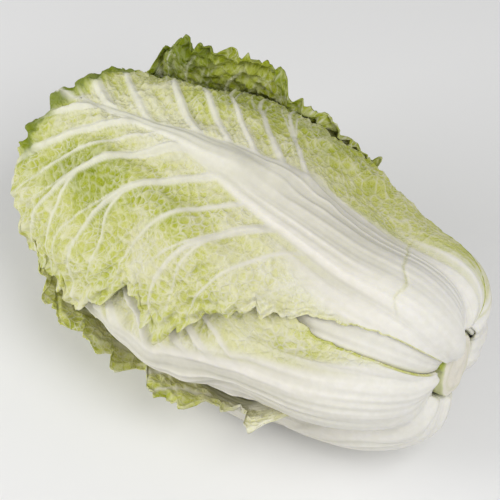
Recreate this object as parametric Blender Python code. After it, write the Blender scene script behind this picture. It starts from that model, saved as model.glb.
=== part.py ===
"""Napa cabbage: a barrel-shaped head of broad-ribbed leaves, trimmed at the stem and lying on its side.

Frame: +X points to the cut stem and +Z up. The origin is on the table under the middle of the head.
The head is laid up as it grows. A heart of young leaves is the core, and each older leaf is laid over those
inside it. A place on the head is (m, turn, h): the distance m from the stem over the heart's skin, the
turn about the head's axis, and the height h off the heart's skin.
"""

import math
from dataclasses import dataclass, field

import bpy
import numpy as np

# Head, metres. Turns are in degrees from straight up, positive towards -Y.
HEART_LENGTH = 0.255
HEART_RADIUS = 0.0545
BUTT_TAPER = 0.84  # the heart's radius near the stem, as a share of its full radius
TOP_TAPER = 0.27  # how much less its radius is at the top
FOLDS, FOLD_TWIST, FOLD_DEPTH = 5, 9.0, 0.003  # of the young leaves at the heart's top
BUTT_SQUARENESS = 4.6  # exponent of the heart's superellipse profile at the stem end: 2 is an ellipse
TOP_SQUARENESS = 2.4
AXIS_Y = 0.0045  # where the head's axis is
AXIS_HEIGHT = 0.0740
STEM_END_X = 0.1223  # where the heart's own base is, along X

# Stem
STEM_RADIUS = 0.0150  # where it meets the heart
STEM_LENGTH = 0.0150
STEM_BEVEL = 0.0012
STEM_SIDES = 28

# Heart mesh
HEART_ROWS, HEART_COLUMNS = 26, 30

# Laying
LEAF_GAP = 0.0017  # free space kept under each leaf
FIT_GAP = 0.0004  # between the stem and what it carries
LAY_ROWS, LAY_TURNS = 190, 240  # cells of the grid that holds how high the laid leaves reach
BRIDGE = 5  # cells over which a leaf spans the steps beneath it

# What all leaves share
BLADE = 0.0010  # blade thickness
BASE_SHARE, BASE_END = 0.45, 0.06  # the rib's thickness at the very base, and how far up it is full
TIP_SHARE = 0.22  # the rib's thickness at the tip
RIB_TIP_WIDTH = 0.14  # the rib's width at the tip, as a share of that at the base
BASE_ROUNDING = 0.006  # how far the corners of the base stand off the stem
MARGIN_START = 0.70  # where the waves of the side margins begin, as a share of the half width
TOP_MARGIN_START = 0.86  # where those of the top margin begin, as a share of the length
SIDE_SWING = 1.6  # degrees by which the side margins swing out and in
TOP_SWING = 0.003  # metres by which the top margin swings up and down
BLADE_OFF_RIB = 0.012  # the blade's mean height over the heart's skin, used to measure the rib's width


@dataclass
class Peel:
    """One side of a leaf that has come away. It leaves the head at a share of its half width, from start to
    full along the leaf, and bends outward from there at its own curvature."""

    start: float
    full: float
    release: float
    curl: float
    waves: float = 1.0  # which way its waves stand: 1 outward, -1 inward


@dataclass
class Leaf:
    """One leaf. left is the side of the larger turn. Its widths are half widths in degrees of turn."""

    name: str
    turn: float
    tip: float  # where the tip ends, as a share of the way over the heart
    left: list  # (share of the leaf's length, half width)
    right: list
    rib: float = 0.0065  # rib thickness at the base
    rib_width: float = 0.026  # rib half width at the base
    lean: float = 0.0  # degrees by which the rib bends to the left at the tip
    shoulder: float = 0.030  # how far the top margin drops back at the sides
    ruffle: float = 0.0025  # height of the margin's waves
    flare: float = 0.0  # how far the top margin stands off
    peel: dict = field(default_factory=dict)  # side (+1 left, -1 right): its Peel
    rows: int = 20  # always even, so that each row falls on a crest or a trough of the margin's waves
    columns: int = 12


def smoothstep(low, high, x):
    t = np.clip((x - low) / (high - low), 0, 1)
    return t * t * (3 - 2 * t)


def smooth_through(points, x):
    """A smooth curve through (place, value) points, level at its ends."""
    places, values = np.array(points, float).T
    slopes = np.gradient(values, places)
    slopes[0] = slopes[-1] = 0
    i = np.clip(np.searchsorted(places, x, side="right") - 1, 0, len(places) - 2)
    step = places[i + 1] - places[i]
    t = np.clip((x - places[i]) / step, 0, 1)
    return (
        values[i] * (1 + 2 * t) * (1 - t) ** 2
        + values[i + 1] * t * t * (3 - 2 * t)
        + step * (slopes[i] * t * (1 - t) ** 2 - slopes[i + 1] * t * t * (1 - t))
    )


# ---------------------------------------------------------------- the heart's skin


def heart_profile(samples=2000):
    """(m, along, radius) down the heart's skin, from the stem to the top."""
    angle = np.linspace(0, math.pi, samples)
    power = 2 / (BUTT_SQUARENESS + (TOP_SQUARENESS - BUTT_SQUARENESS) * smoothstep(0, math.pi, angle))
    cosine = np.cos(angle)
    along = (1 - np.sign(cosine) * np.abs(cosine) ** power) / 2
    taper = BUTT_TAPER + (1 - BUTT_TAPER) * smoothstep(0, 0.5, along)
    taper -= TOP_TAPER * smoothstep(0.45, 1, along)
    radius = HEART_RADIUS * np.sin(angle) ** power * taper
    along = HEART_LENGTH * along
    m = np.concatenate([[0], np.cumsum(np.hypot(np.diff(along), np.diff(radius)))])
    return m, along, radius


PROFILE_M, PROFILE_ALONG, PROFILE_RADIUS = heart_profile()
OVER_TOP = PROFILE_M[-1]  # the way over the heart's skin, from pole to pole
STEM_M = float(np.interp(STEM_RADIUS + FIT_GAP, PROFILE_RADIUS[:500], PROFILE_M[:500]))
NORMAL_REACH = 0.004  # half the stretch of skin that sets a normal, which keeps normals smooth


def skin(m):
    """(along, radius, outward normal's along and radial parts) of the heart's skin."""
    along = np.interp(m, PROFILE_M, PROFILE_ALONG)
    radius = np.interp(m, PROFILE_M, PROFILE_RADIUS)
    before, after = np.maximum(m - NORMAL_REACH, 0), np.minimum(m + NORMAL_REACH, OVER_TOP)
    d_along = np.interp(after, PROFILE_M, PROFILE_ALONG) - np.interp(before, PROFILE_M, PROFILE_ALONG)
    d_radius = np.interp(after, PROFILE_M, PROFILE_RADIUS) - np.interp(before, PROFILE_M, PROFILE_RADIUS)
    size = np.hypot(d_along, d_radius)
    return along, radius, -d_radius / size, d_along / size


def frame_at(m, turn, h):
    """(point, outward normal, direction of increasing turn), as (..., 3) arrays in world space."""
    along, radius, out_along, out_radius = skin(m)
    sine, cosine = np.sin(np.radians(turn)), np.cos(np.radians(turn))
    reach = radius + h * out_radius
    x = STEM_END_X - along - h * out_along
    point = np.stack([x, AXIS_Y - reach * sine, AXIS_HEIGHT + reach * cosine], -1)
    normal = np.stack([-out_along, -out_radius * sine, out_radius * cosine], -1)
    sideways = np.stack([np.zeros_like(sine), -cosine, -sine], -1)
    return point, normal, sideways


# ---------------------------------------------------------------- laying leaves over each other


def grid_place(m, turn):
    return m / OVER_TOP * (LAY_ROWS - 1), (turn % 360) / 360 * LAY_TURNS


def reach_of(laid, m, turn):
    """The height of the laid leaves at a place, read smoothly between cells."""
    row, column = grid_place(m, turn)
    row = np.clip(row, 0, LAY_ROWS - 1.001)
    i, j = row.astype(int), np.floor(column).astype(int)
    a, b = row - i, column - j
    j, k = j % LAY_TURNS, (j + 1) % LAY_TURNS
    before = (1 - b) * laid[i, j] + b * laid[i, k]
    after = (1 - b) * laid[i + 1, j] + b * laid[i + 1, k]
    return (1 - a) * before + a * after


def shifted(cells, rows, turns):
    """The grid moved by whole cells: round in turn, and held at its ends along m."""
    index = np.clip(np.arange(LAY_ROWS) + rows, 0, LAY_ROWS - 1)
    return np.roll(cells[index], -turns, axis=1)


def bridged(laid):
    """The laid surface as the next leaf feels it: its crests widened, then smoothed."""
    for axis in ((1, 0), (0, 1)):
        moved = [shifted(laid, step * axis[0], step * axis[1]) for step in range(-BRIDGE, BRIDGE + 1)]
        laid = np.max(moved, axis=0)
    for _ in range(2):
        for axis in ((1, 0), (0, 1)):
            moved = [shifted(laid, step * axis[0], step * axis[1]) for step in range(-BRIDGE, BRIDGE + 1)]
            laid = np.mean(moved, axis=0)
    return laid


def rib_turn(leaf, u):
    return leaf.turn + leaf.lean * smoothstep(0.2, 1, u)


def place(leaf, u, c):
    """(m, turn, v) of a point of the leaf. u runs from base to tip. c runs from margin to margin in even
    columns, and v is the same with the columns closer together near the margins."""
    v = c * (1.3 - 0.3 * c * c)
    half_width = np.where(v < 0, smooth_through(leaf.right, u), smooth_through(leaf.left, u))
    start = STEM_M + BASE_ROUNDING * np.abs(v) ** 4
    end = OVER_TOP * leaf.tip - leaf.shoulder * np.abs(v) ** 2.5
    m = start + (end - start) * u
    turn = rib_turn(leaf, u) + half_width * v
    turn += SIDE_SWING * np.cos(math.pi * leaf.rows * u) * margin_weight(u, v)
    top = smoothstep(0.9, 1, u) * (1 - v * v)
    m += TOP_SWING * np.cos(math.pi * leaf.columns / 2 * (c + 1)) * top
    return m, turn, v


def margin_weight(u, v):
    """1 at the waved margins, 0 on the blade and at the smooth margins of the leaf's base."""
    side = smoothstep(MARGIN_START, 1, np.abs(v)) * smoothstep(0.16, 0.42, u)
    return np.maximum(side, smoothstep(TOP_MARGIN_START, 1, u))


def waves(leaf, u, c):
    """(broad, fine) waves of the blade, from -1 to 1. The fine one turns over at every row and column."""
    fine = np.cos(math.pi * leaf.rows * u) * np.cos(math.pi * leaf.columns / 2 * (c + 1))
    broad = np.sin(2 * math.pi * (leaf.rows / 7 * u + 0.3 * np.sign(c)) + leaf.turn)
    return broad, fine


def thickness(leaf, u, v, m, turn):
    """The blade's thickness and the rib that stands out of it, which narrows towards the tip and margins."""
    off = np.radians(turn - rib_turn(leaf, u)) * (skin(m)[1] + BLADE_OFF_RIB)
    width = leaf.rib_width * (1 - (1 - RIB_TIP_WIDTH) * smoothstep(0.15, 0.95, u))
    across = np.clip(1 - (off / width) ** 2 - v**4, 0, 1) ** 1.5
    base = BASE_SHARE + (1 - BASE_SHARE) * smoothstep(0, BASE_END, u)
    return BLADE + leaf.rib * base * across * (1 - (1 - TIP_SHARE) * smoothstep(0.1, 0.9, u))


def heights(leaf, u, c, felt):
    """(m, turn, height of the seat under the leaf, how far its waves lift it, its thickness)."""
    m, turn, v = place(leaf, u, c)
    broad, fine = waves(leaf, u, c)
    outer_blade = smoothstep(0.35, 0.95, np.abs(v)) * smoothstep(0.2, 0.5, u)
    lift = leaf.ruffle * (margin_weight(u, v) * (1 + fine) / 2 + outer_blade * (1 + broad) / 2)
    lift += leaf.flare * smoothstep(0.78, 1, u) ** 2
    return m, turn, reach_of(felt, m, turn) + LEAF_GAP, lift, thickness(leaf, u, v, m, turn)


def lay(leaf, laid):
    """The grid with this leaf laid on it."""
    along = np.linspace(0, 1, 2 * LAY_ROWS)
    u, c = np.meshgrid(along, np.linspace(-1, 1, 2 * LAY_TURNS), indexing="ij")
    m, turn, seat, lift, thick = heights(leaf, u, c, bridged(laid))
    row, column = grid_place(m, turn)
    cell = np.rint(row).astype(int), np.rint(column).astype(int) % LAY_TURNS
    laid = laid.copy()
    np.maximum.at(laid, cell, seat + lift + thick)
    return laid


# ---------------------------------------------------------------- points of a leaf in space


def peeled(leaf, side, peel, u, m, turn, seat, felt):
    """(path, normal, where it holds) of the side of a leaf that has come away."""
    share = peel.release + (1.05 - peel.release) * (1 - smoothstep(peel.start, peel.full, u))
    half_width = smooth_through(leaf.left if side > 0 else leaf.right, u)
    release_turn = rib_turn(leaf, u) + side * share * half_width
    past = np.radians(np.maximum(side * (turn - release_turn), 0))
    held = reach_of(felt, m, release_turn) + LEAF_GAP
    base, out, sideways = frame_at(m, release_turn, held)
    round_radius = skin(m)[1] + held
    way = past * round_radius
    bend = peel.curl * way
    rise = np.maximum(seat - held - way * way * (peel.curl + 1 / round_radius) / 2, 0)  # over a rib beneath
    along, off = np.sin(bend)[..., None], np.cos(bend)[..., None]
    path = base + (side * sideways * along + out * (1 - off)) / peel.curl + out * rise[..., None]
    return path, out * off - side * sideways * along, past > 0


def faces_of(leaf, u, c, felt):
    """(outer, inner) points of a leaf. The table stops what would go below it."""
    m, turn, seat, lift, thick = heights(leaf, u, c, felt)
    path, normal, _ = frame_at(m, turn, seat)
    for side, peel in leaf.peel.items():
        loose_path, loose_normal, is_loose = peeled(leaf, side, peel, u, m, turn, seat, felt)
        loose_path[..., 2] = np.maximum(loose_path[..., 2], thick)
        path = np.where(is_loose[..., None], loose_path, path)
        normal = np.where(is_loose[..., None], loose_normal, normal)
        lift = np.where(is_loose, lift * peel.waves, lift)
    inner = path + normal * lift[..., None]
    outer = inner + normal * thick[..., None]
    inner[..., 2] = np.maximum(inner[..., 2], BLADE)
    outer[..., 2] = np.maximum(outer[..., 2], 0)
    return outer, inner


def sheet_triangles(rows, columns):
    """Triangles of a grid of points, all split the same way, so that two faces of a blade never cross."""
    faces = []
    for i in range(rows):
        for j in range(columns):
            a = i * (columns + 1) + j
            b, d = a + 1, a + columns + 1
            faces += [(a, b, d + 1), (a, d + 1, d)]
    return faces


def blade_mesh(name, outer, inner):
    """A closed shell between two grids of points."""
    rows, columns = outer.shape[0] - 1, outer.shape[1] - 1
    count = (rows + 1) * (columns + 1)
    sheet = sheet_triangles(rows, columns)
    faces = [face[::-1] for face in sheet]
    faces += [tuple(count + k for k in face) for face in sheet]
    rim = list(range(columns))
    rim += [i * (columns + 1) + columns for i in range(rows)]
    rim += [rows * (columns + 1) + j for j in range(columns, 0, -1)]
    rim += [i * (columns + 1) for i in range(rows, 0, -1)]
    for a, b in zip(rim, rim[1:] + rim[:1]):
        faces += [(a, b, count + b), (a, count + b, count + a)]
    mesh = bpy.data.meshes.new(name)
    mesh.from_pydata(np.concatenate([outer.reshape(-1, 3), inner.reshape(-1, 3)]).tolist(), [], faces)
    mesh.validate()
    return mesh


def material(name, colour, roughness):
    made = bpy.data.materials.new(name)
    made.use_nodes = True
    shader = made.node_tree.nodes["Principled BSDF"]
    shader.inputs["Base Color"].default_value = (*colour, 1)
    shader.inputs["Roughness"].default_value = roughness
    return made


def add_object(mesh, finish):
    mesh.materials.append(finish)
    mesh.shade_smooth()
    made = bpy.data.objects.new(mesh.name, mesh)
    bpy.context.scene.collection.objects.link(made)
    return made


def add_leaf(leaf, laid, finish):
    along = np.linspace(0, 1, leaf.rows + 1)
    u, c = np.meshgrid(along, np.linspace(-1, 1, leaf.columns + 1), indexing="ij")
    outer, inner = faces_of(leaf, u, c, bridged(laid))
    return add_object(blade_mesh(leaf.name, outer, inner), finish)


def add_heart(finish):
    """The heart: young leaves packed in one body. Their folds wind round its top."""
    rows, columns = HEART_ROWS, HEART_COLUMNS
    levels = np.linspace(0, OVER_TOP, rows + 1)[1:-1]
    m, turn = np.meshgrid(levels, np.arange(columns) * 360 / columns, indexing="ij")
    folds = np.abs(np.sin(np.radians(turn) * FOLDS / 2 + FOLD_TWIST * m / OVER_TOP))
    h = -FOLD_DEPTH * (1 - folds) * smoothstep(0.6, 0.85, m / OVER_TOP)
    points = frame_at(m, turn, h)[0].reshape(-1, 3).tolist()
    base, top = len(points), len(points) + 1
    points += [[STEM_END_X, AXIS_Y, AXIS_HEIGHT], [STEM_END_X - HEART_LENGTH, AXIS_Y, AXIS_HEIGHT]]
    faces = []
    for j in range(columns):
        k = (j + 1) % columns
        faces.append((base, j, k))
        faces += ring_triangles(rows - 1, columns, j, k)
        faces.append((top, (rows - 2) * columns + k, (rows - 2) * columns + j))
    mesh = bpy.data.meshes.new("heart")
    mesh.from_pydata(points, [], faces)
    return add_object(mesh, finish)


def ring_triangles(rings, columns, j, k):
    """Triangles between columns j and k of rings of points that lie one beyond the other."""
    faces = []
    for i in range(rings - 1):
        a, b, c, d = i * columns + j, i * columns + k, (i + 1) * columns + k, (i + 1) * columns + j
        faces += [(a, d, c), (a, c, b)]
    return faces


def add_stem(finish):
    """The stem: a plug that widens through the leaf bases, with its cut face outward."""
    m = float(np.interp(STEM_RADIUS, PROFILE_RADIUS[:500], PROFILE_M[:500]))
    turn = np.arange(STEM_SIDES) * 360 / STEM_SIDES
    axis = np.array([0, AXIS_Y, AXIS_HEIGHT])
    rings = []
    for h, inset in ((STEM_LENGTH, STEM_BEVEL), (STEM_LENGTH - STEM_BEVEL, 0), (FIT_GAP, 0)):
        ring, _, _ = frame_at(*np.broadcast_arrays(m, turn, h))
        from_axis = (ring - axis) * (0, 1, 1)
        rings.append(ring - from_axis * (inset / np.linalg.norm(from_axis, axis=1))[:, None])
    points = np.concatenate(rings).tolist()
    cut, under = len(points), len(points) + 1
    points += [[rings[0][0][0], AXIS_Y, AXIS_HEIGHT], [rings[-1][0][0], AXIS_Y, AXIS_HEIGHT]]
    faces = []
    for j in range(STEM_SIDES):
        k = (j + 1) % STEM_SIDES
        faces.append((cut, j, k))
        faces += ring_triangles(len(rings), STEM_SIDES, j, k)
        faces.append((under, (len(rings) - 1) * STEM_SIDES + k, (len(rings) - 1) * STEM_SIDES + j))
    mesh = bpy.data.meshes.new("stem")
    mesh.from_pydata(points, [], faces)
    return add_object(mesh, finish)


def all_leaves():
    """The leaves, from the inside out."""
    young = [(0, 44), (0.2, 42), (0.45, 58), (0.75, 80), (1, 84)]
    inner = [(0, 40), (0.3, 44), (0.6, 62), (1, 70)]
    return [
        Leaf("leaf_young_upper", 20, 0.95, young, young, rib=0.003, ruffle=0.001, rows=22),
        Leaf("leaf_young_lower", 157, 0.95, young, young, rib=0.003, ruffle=0.001, rows=22),
        Leaf("leaf_far_inner", -100, 0.95, young, young, rib=0.005, ruffle=0.001),
        Leaf("leaf_near_inner", 41, 0.95, inner, inner, rib=0.0075, ruffle=0.0012),
        Leaf("leaf_under", 195, 0.95, young, young, rib=0.004, ruffle=0.001),
        Leaf(
            "leaf_near", 92, 0.95,
            left=[(0, 42), (0.3, 44), (0.6, 62), (1, 70)],
            right=[(0, 38), (0.3, 46), (0.5, 57), (0.75, 74), (1, 82)],
            rib=0.0140, rib_width=0.034, lean=12, ruffle=0.0018, rows=26, columns=14,
        ),
        Leaf(
            "leaf_far_upper", -55, 0.95,
            left=[(0, 38), (0.3, 44), (0.6, 60), (1, 70)],
            right=[(0, 38), (0.3, 44), (0.6, 62), (1, 70)],
            rib=0.0090, ruffle=0.0015, rows=22,
        ),
        Leaf(
            "leaf_top", 4, 0.93,
            left=[(0, 33), (0.3, 41), (0.45, 56), (0.58, 74), (0.64, 64), (0.72, 82), (1, 88)],
            right=[(0, 46), (0.16, 52), (0.35, 60), (0.6, 66), (0.8, 74), (1, 80)],
            rib=0.0085, flare=0.002, rows=28, columns=16,
        ),
        Leaf(
            "leaf_table", 142, 0.88,
            left=[(0, 44), (0.3, 46), (0.6, 60), (1, 66)],
            right=[
                (0, 42), (0.06, 34), (0.12, 20), (0.2, 20), (0.3, 31), (0.38, 24),
                (0.44, 33), (0.52, 27), (0.62, 32), (0.8, 40), (1, 40),
            ],
            rib=0.0100, rib_width=0.032, rows=26, columns=14,
            peel={-1: Peel(0.22, 0.42, 0.06, 13.0, -1)},
        ),
        Leaf(
            "leaf_far", -125, 0.90,
            left=[(0, 66), (0.3, 60), (0.6, 80), (0.8, 86), (1, 76)],
            right=[(0, 44), (0.3, 56), (0.6, 66), (1, 70)],
            rib=0.0085, rib_width=0.030, rows=28, columns=16,
            peel={1: Peel(0.22, 0.5, 0.6, 9.0)},
        ),
    ]


def main():
    for old in list(bpy.data.objects):
        bpy.data.objects.remove(old)
    green = material("leaf_green", (0.55, 0.62, 0.22), 0.5)
    white = material("stem_white", (0.80, 0.78, 0.70), 0.5)
    add_heart(green)
    add_stem(white)
    laid = np.zeros((LAY_ROWS, LAY_TURNS))
    for leaf in all_leaves():
        add_leaf(leaf, laid, green)
        laid = lay(leaf, laid)


main()
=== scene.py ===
"""The looks of the napa cabbage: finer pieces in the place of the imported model's, with veins, blisters and
frilled margins. The leaves are laid up by the same rules as the solids. Some margins, ribs and bases differ a
little from the solids', and the stem end is bent, to come closer to the photograph.

A place on the head is (m, turn, h): the distance m from the stem over the heart's skin, the turn about
the head's axis in degrees from straight up, and the height h off the heart's skin. A place on a leaf is
(u, c): from base to tip, and from margin to margin. Lengths are in metres and turns in degrees.
"""

import math
from dataclasses import dataclass, field

import bpy
import numpy as np
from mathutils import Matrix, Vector


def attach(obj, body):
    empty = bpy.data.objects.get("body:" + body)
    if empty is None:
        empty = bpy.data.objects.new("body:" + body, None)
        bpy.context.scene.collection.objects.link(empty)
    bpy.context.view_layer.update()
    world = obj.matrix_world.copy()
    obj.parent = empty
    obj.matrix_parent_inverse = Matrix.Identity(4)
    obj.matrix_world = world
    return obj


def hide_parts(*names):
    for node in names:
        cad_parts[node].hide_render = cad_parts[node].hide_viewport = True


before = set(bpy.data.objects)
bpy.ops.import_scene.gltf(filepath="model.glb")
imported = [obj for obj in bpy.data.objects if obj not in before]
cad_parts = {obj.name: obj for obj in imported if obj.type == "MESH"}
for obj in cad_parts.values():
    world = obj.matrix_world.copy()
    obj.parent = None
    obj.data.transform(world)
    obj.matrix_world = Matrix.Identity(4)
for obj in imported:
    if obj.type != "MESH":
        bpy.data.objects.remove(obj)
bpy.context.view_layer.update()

# Head, metres, as in the solids
HEART_LENGTH = 0.255
HEART_RADIUS = 0.0545
BUTT_TAPER = 0.84  # the heart's radius near the stem, as a share of its full radius
TOP_TAPER = 0.27  # how much less its radius is at the top
BUTT_SQUARENESS = 4.6  # exponent of its profile at the stem end: 2 is an ellipse
TOP_SQUARENESS = 2.4
AXIS_Y = 0.0045
AXIS_HEIGHT = 0.0740
STEM_END_X = 0.1223  # where the heart's own base is
STEM_RADIUS = 0.0150
FIT_GAP = 0.0004  # between the stem and the heart
BLADE = 0.0010  # blade thickness
BLADE_OFF_RIB = 0.012  # the blade's mean height over the heart's skin, for measures across a leaf
NORMAL_REACH = 0.004  # half the stretch of skin that sets a normal

# The grid that holds how high the laid leaves reach: finer than the solids', so that the leaves lie closer
LAY_ROWS, LAY_TURNS = 340, 420
BRIDGE = 3  # cells over which a leaf spans the steps beneath it
LEAF_ROWS, LEAF_COLUMNS = 460, 560  # places of a leaf that are written into the grid

# The stem end, where it differs from the solids'
BUTT_BEND = (0.0040, 0.0050)  # how far it is bent toward +Y and up
BUTT_BEND_LENGTH = 0.05
BASE_GAP = 0.0021  # between the stem and a leaf's base
BASE_ROUNDING = 0.003  # how far the corners of the base stand off the stem
BUTT_SHARES = [  # thickness of the ribs near the stem
    (0, 0.50), (0.05, 0.98), (0.12, 1.16), (0.22, 1.12), (0.45, 1.0), (1, 1.0),
]

# Heart and stem, metres and degrees
HEART_ROWS, HEART_TURNS = 110, 130
HEART_FOLDS, HEART_TWIST = 5, 9.0
HEART_SUNK = 0.0018  # how far its crests are under its skin, so that the leaves stay clear
HEART_FOLD_DEPTH = 0.0016  # half the depth of a fold
HEART_WRINKLE, HEART_WRINKLE_LENGTH = 0.0007, 0.012
STEM_FACE_X = 0.1352
STEM_FACE_RADIUS = 0.0163
STEM_DEPTH = 0.0125
STEM_TILT_UP, STEM_TILT_SIDE = 0.10, 0.12  # slopes of the cut
STEM_SIDES, STEM_RINGS = 120, 48
STEM_FACE_SHARE = 0.72  # the share of the rings that lie on the face
STEM_ROUGHNESS, STEM_ROUGHNESS_LENGTH = 0.0006, 0.006
STEM_ROUNDING = 0.0012  # how far the face falls at its edge
STEM_COLLAR = 0.0010  # how far the collar stands out
STUB_TURN, STUB_SPREAD, STUB_REACH = 42.0, 11.0, 0.0065
STUB_GROOVE, STUB_GROOVE_WIDTH = 0.0016, 0.0012

# Camera
CAMERA_AZIMUTH = math.radians(38)
CAMERA_HEIGHT = math.radians(50)
CAMERA_DISTANCE = 0.9
CAMERA_SPAN = 0.265  # width of view at the head
CAMERA_TARGET = Vector((0.0046, 0.0071, 0.0753))
SENSOR_WIDTH = 36  # millimetres

# Stage
FLOOR_REACH = 3
FLOOR_WHITE = 0.85
WORLD_STRENGTH = 0.40
LIGHTS_AIM = Vector((0, 0, 0.06))

# Margins: in degrees at the sides of a leaf, in metres at its tip
TOOTH, LOBE, SMALL_LOBE, NOTCH = 1.2, 2.6, 1.4, 0.8
TIP_TOOTH, TIP_LOBE, TIP_NOTCH = 0.0012, 0.0030, 0.0015
FRILL = 0.014  # width of the crumpled margin
FRILL_FULL = 0.003  # width of its fully crumpled part
HUG_GAP = 0.0003  # under a smooth margin near the base
NO_MARGIN = 0.05  # distance to the margin that is given where a leaf lies firm, near its base

# Ribs and veins, metres
LEAF_HALF_WIDTH = 0.085  # where the lateral veins have grown thin
LATERAL_SPACING = 0.0225  # along the midrib
LATERAL_START = 2.0  # how many times faster a lateral vein runs along the leaf than across, at the midrib
LATERAL_TURN = 0.068  # how far across the leaf it runs straight outward
LATERAL_WIDTH, LATERAL_HEIGHT = 0.0036, 0.0032
LATERAL_BEND, LATERAL_WOBBLE = 0.0045, 0.0008  # how far it strays
FAN_WIDTH, FAN_HEIGHT = 0.0011, 0.0006
SECONDARY_SPACING, SECONDARY_WIDTH, SECONDARY_HEIGHT = 0.0080, 0.0010, 0.0007
NET_CELL, NET_HEIGHT = 0.0052, 0.0008
BLISTER = 0.0078  # from one blister to the next
STRIPE_WIDTH, BROAD_STRIPE_WIDTH, STRIPE_HEIGHT = 0.0021, 0.0052, 0.0006
WHITE_SHARES = [  # width of the rib's white from base to tip
    (0, 1.4), (0.1, 1.25), (0.2, 1.06), (0.31, 0.82), (0.44, 0.55), (0.54, 0.38),
    (0.65, 0.20), (0.745, 0.12), (0.85, 0.085), (1, 0.05),
]

# The crack across the top leaf's base, metres
CRACK_PLACE, CRACK_SLOPE, CRACK_WAVE = 0.041, 0.013, 0.003
CRACK_WIDTH, CRACK_DEPTH = 0.0007, 0.0006

UV_SCALE = 10  # units of the leaf_place map to a metre


@dataclass
class Peel:
    """One side of a leaf that has come away."""

    start: float  # where along the leaf it begins to come away
    full: float  # from where it is fully loose
    release: float  # the share of the half width that stays seated
    curl: float  # its bend, 1 / metres
    waves: float = 1.0  # how much of the waves it keeps, -1 to turn them inside out


@dataclass
class Leaf:
    """One leaf: its form, the grid of its mesh, and its looks. Widths along it are (place, value) lists."""

    name: str
    turn: float  # of its rib at the base
    tip: float  # how far over the heart it reaches
    left: list  # half widths in degrees, from base to tip
    right: list
    rib: float = 0.0065  # thickness of the rib
    rib_width: float = 0.026
    lean: float = 0.0  # how far the rib turns on its way to the tip
    shoulder: float = 0.030  # how much less far the corners of the tip reach
    tip_lean: float = 0.0  # how much further the tip reaches on its left
    ruffle: float = 0.0025  # height of the waves
    flare: float = 0.0  # how far the tip stands off
    peel: dict = field(default_factory=dict)  # a Peel for side 1, the left, or -1
    rows: int = 20  # waves along and across
    columns: int = 12
    fine: tuple = (100, 80)  # quads along and across
    under: int = 1  # how many times coarser the hidden face is
    seed: int = 0  # each of its random fields adds a number of its own
    green: float = 0.0  # how much darker than the others
    edge: float = 0.2  # how dark the crumpled margin is
    pale_side: float = 0.0  # the side whose margin stays pale
    gap: float = 0.0006  # free space under it
    white: float = 1.0  # how wide the rib's white is, against the usual
    lateral: float = LATERAL_SPACING  # between its lateral veins
    crack: bool = False  # whether a shallow crack runs across its base
    blister: float = 0.0013  # height of the blade's blisters
    fold: float = 0.0008  # height of its folds
    crumple: float = 0.0020  # height of the crumpled margin


def smoothstep(low, high, x):
    t = np.clip((x - low) / (high - low), 0, 1)
    return t * t * (3 - 2 * t)


def smooth_through(points, x):
    """A smooth curve through (place, value) points, level at its ends."""
    places, values = np.array(points, float).T
    slopes = np.gradient(values, places)
    slopes[0] = slopes[-1] = 0
    i = np.clip(np.searchsorted(places, x, side="right") - 1, 0, len(places) - 2)
    step = places[i + 1] - places[i]
    t = np.clip((x - places[i]) / step, 0, 1)
    return (
        values[i] * (1 + 2 * t) * (1 - t) ** 2
        + values[i + 1] * t * t * (3 - 2 * t)
        + step * (slopes[i] * t * (1 - t) ** 2 - slopes[i + 1] * t * t * (1 - t))
    )


def noise(x, y, seed):
    """Smooth random values from -1 to 1, one hill or hollow to each unit of x and y."""
    table = np.random.default_rng(seed).uniform(-1, 1, (64, 64))
    i, j = np.floor(x).astype(int), np.floor(y).astype(int)
    a, b = x - i, y - j
    a, b = a * a * (3 - 2 * a), b * b * (3 - 2 * b)
    near = (1 - b) * table[i % 64, j % 64] + b * table[i % 64, (j + 1) % 64]
    far = (1 - b) * table[(i + 1) % 64, j % 64] + b * table[(i + 1) % 64, (j + 1) % 64]
    return (1 - a) * near + a * far


def noise_of(size, along, across, seed):
    """Smooth random values with hills and hollows of one size, in metres."""
    return noise(along / size, across / size, seed)


def lobes(x, y, seed):
    """Round hills with sharp notches between them."""
    return 2 * np.abs(noise(x, y, seed)) - 0.6


def cells(x, y, seed):
    """(distance to the nearest cell's middle, how much further the next one is), for cells one unit apart."""
    spots = np.random.default_rng(seed).uniform(0.12, 0.88, (64, 64, 2))
    i, j = np.floor(x).astype(int), np.floor(y).astype(int)
    first = np.full(x.shape, 9.0)
    second = first.copy()
    for di in (-1, 0, 1):
        for dj in (-1, 0, 1):
            spot = spots[(i + di) % 64, (j + dj) % 64]
            away = np.hypot(i + di + spot[..., 0] - x, j + dj + spot[..., 1] - y)
            second = np.minimum(second, np.maximum(first, away))
            first = np.minimum(first, away)
    return first, second - first


def crest(away, width, power):
    """The cross-section of a vein: 1 on its middle line, 0 from its width outward."""
    return np.clip(1 - (away / width) ** 2, 0, 1) ** power


# ---------------------------------------------------------------- the heart's skin


def heart_profile(samples=2000):
    """(m, along, radius) down the heart's skin, from the stem to the top."""
    angle = np.linspace(0, math.pi, samples)
    power = 2 / (BUTT_SQUARENESS + (TOP_SQUARENESS - BUTT_SQUARENESS) * smoothstep(0, math.pi, angle))
    cosine = np.cos(angle)
    along = (1 - np.sign(cosine) * np.abs(cosine) ** power) / 2
    taper = BUTT_TAPER + (1 - BUTT_TAPER) * smoothstep(0, 0.5, along)
    taper = taper - TOP_TAPER * smoothstep(0.45, 1, along)
    radius = HEART_RADIUS * np.sin(angle) ** power * taper
    along = HEART_LENGTH * along
    m = np.concatenate([[0], np.cumsum(np.hypot(np.diff(along), np.diff(radius)))])
    return m, along, radius


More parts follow.
